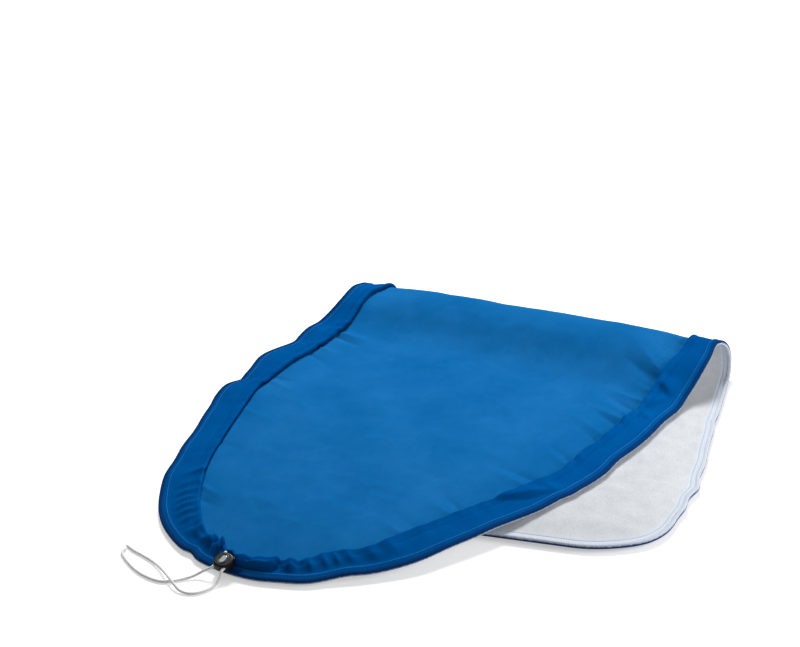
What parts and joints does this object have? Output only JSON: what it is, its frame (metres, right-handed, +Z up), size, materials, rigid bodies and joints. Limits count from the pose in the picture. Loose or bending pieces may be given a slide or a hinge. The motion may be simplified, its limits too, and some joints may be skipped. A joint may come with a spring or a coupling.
{
  "type": "ironing board cover",
  "caption": "Padded ironing board cover, folded over once, with a corded edge band drawn up by a sprung cord lock at its round nose.",
  "frame": {"origin": "on the ground, under the middle of the folded cover's bounding box, without the lock and the cord's free strands", "axes": "+Z up; +Y from the nose towards the fold; +X along the fold, to the right as seen from the nose"},
  "size_m": [0.573, 0.6888, 0.0577],
  "materials": {
    "felt": "matte needled felt",
    "face": "fine woven cotton, slightly satin",
    "band": "fine woven cotton, slightly satin",
    "overlock": "matte thread",
    "seam_thread": "matte thread",
    "felt_thread": "matte thread",
    "hem_thread": "matte thread",
    "cord": "matte braided cord",
    "lock": "satin moulded plastic",
    "button": "glossy moulded plastic",
    "spring": "bright wire"
  },
  "bodies": {
    "cover": {"felt_pad": "felt", "face_fabric": "face", "skirt_band": "band", "overlock_edge": "overlock", "seam_thread_face": "seam_thread", "seam_thread_felt": "felt_thread", "hem_thread": "hem_thread", "drawcord": "cord", "cord_neck_left": "cord", "cord_neck_right": "cord"},
    "cord_lock": {"lock_body": "lock", "lock_base": "lock", "lock_spring": "spring", "cord_tail_left": "cord", "cord_tail_right": "cord"},
    "button": {"lock_button": "button"}
  },
  "joints": [
    {"name": "cord_draw", "type": "slide", "parent": "cover", "child": "cord_lock", "axis": [-0.1668, -0.986, 0], "range_m": [0, 0.06], "deforming": ["cord_neck_left", "cord_neck_right"]},
    {"name": "lock_press", "type": "slide", "parent": "cord_lock", "child": "button", "axis": [0.0432, 0.2552, -0.9659], "range_m": [0, 0.0015], "stiffness_N_per_m": 800, "springref_m": -0.002, "deforming": ["lock_spring"]}
  ]
}
